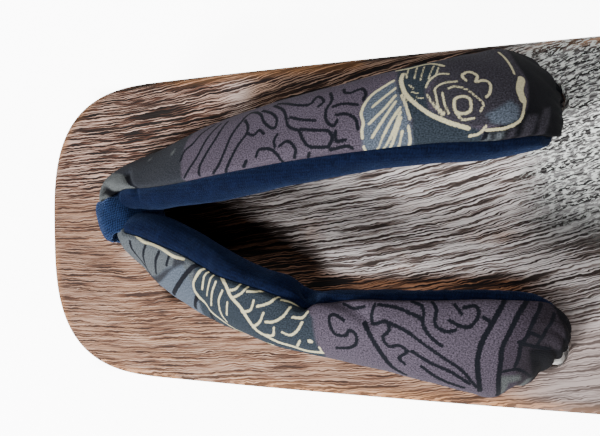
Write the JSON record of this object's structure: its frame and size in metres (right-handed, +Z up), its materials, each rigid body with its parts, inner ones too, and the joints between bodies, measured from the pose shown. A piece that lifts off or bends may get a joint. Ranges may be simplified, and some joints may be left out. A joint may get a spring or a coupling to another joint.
{
  "type": "geta sandal",
  "caption": "Wooden platform sandal carved from one block with teeth across its underside, and a padded two-legged cloth thong held by a loop at the toe.",
  "frame": {"origin": "on the floor, below the middle of the sole's outline", "axes": "+X towards the toe, +Y towards the wearer's left, +Z up"},
  "size_m": [0.26, 0.103, 0.0927],
  "materials": {
    "wood": "scorched and brushed, satin",
    "print": "woven cotton, printed",
    "velvet": "napped velvet",
    "cord": "twisted cotton"
  },
  "bodies": {
    "root": {"sole": "wood", "strap_cover": "print", "strap_lining": "velvet", "toe_loop": "velvet", "toe_cord": "cord", "heel_cord": "cord"}
  },
  "joints": []
}
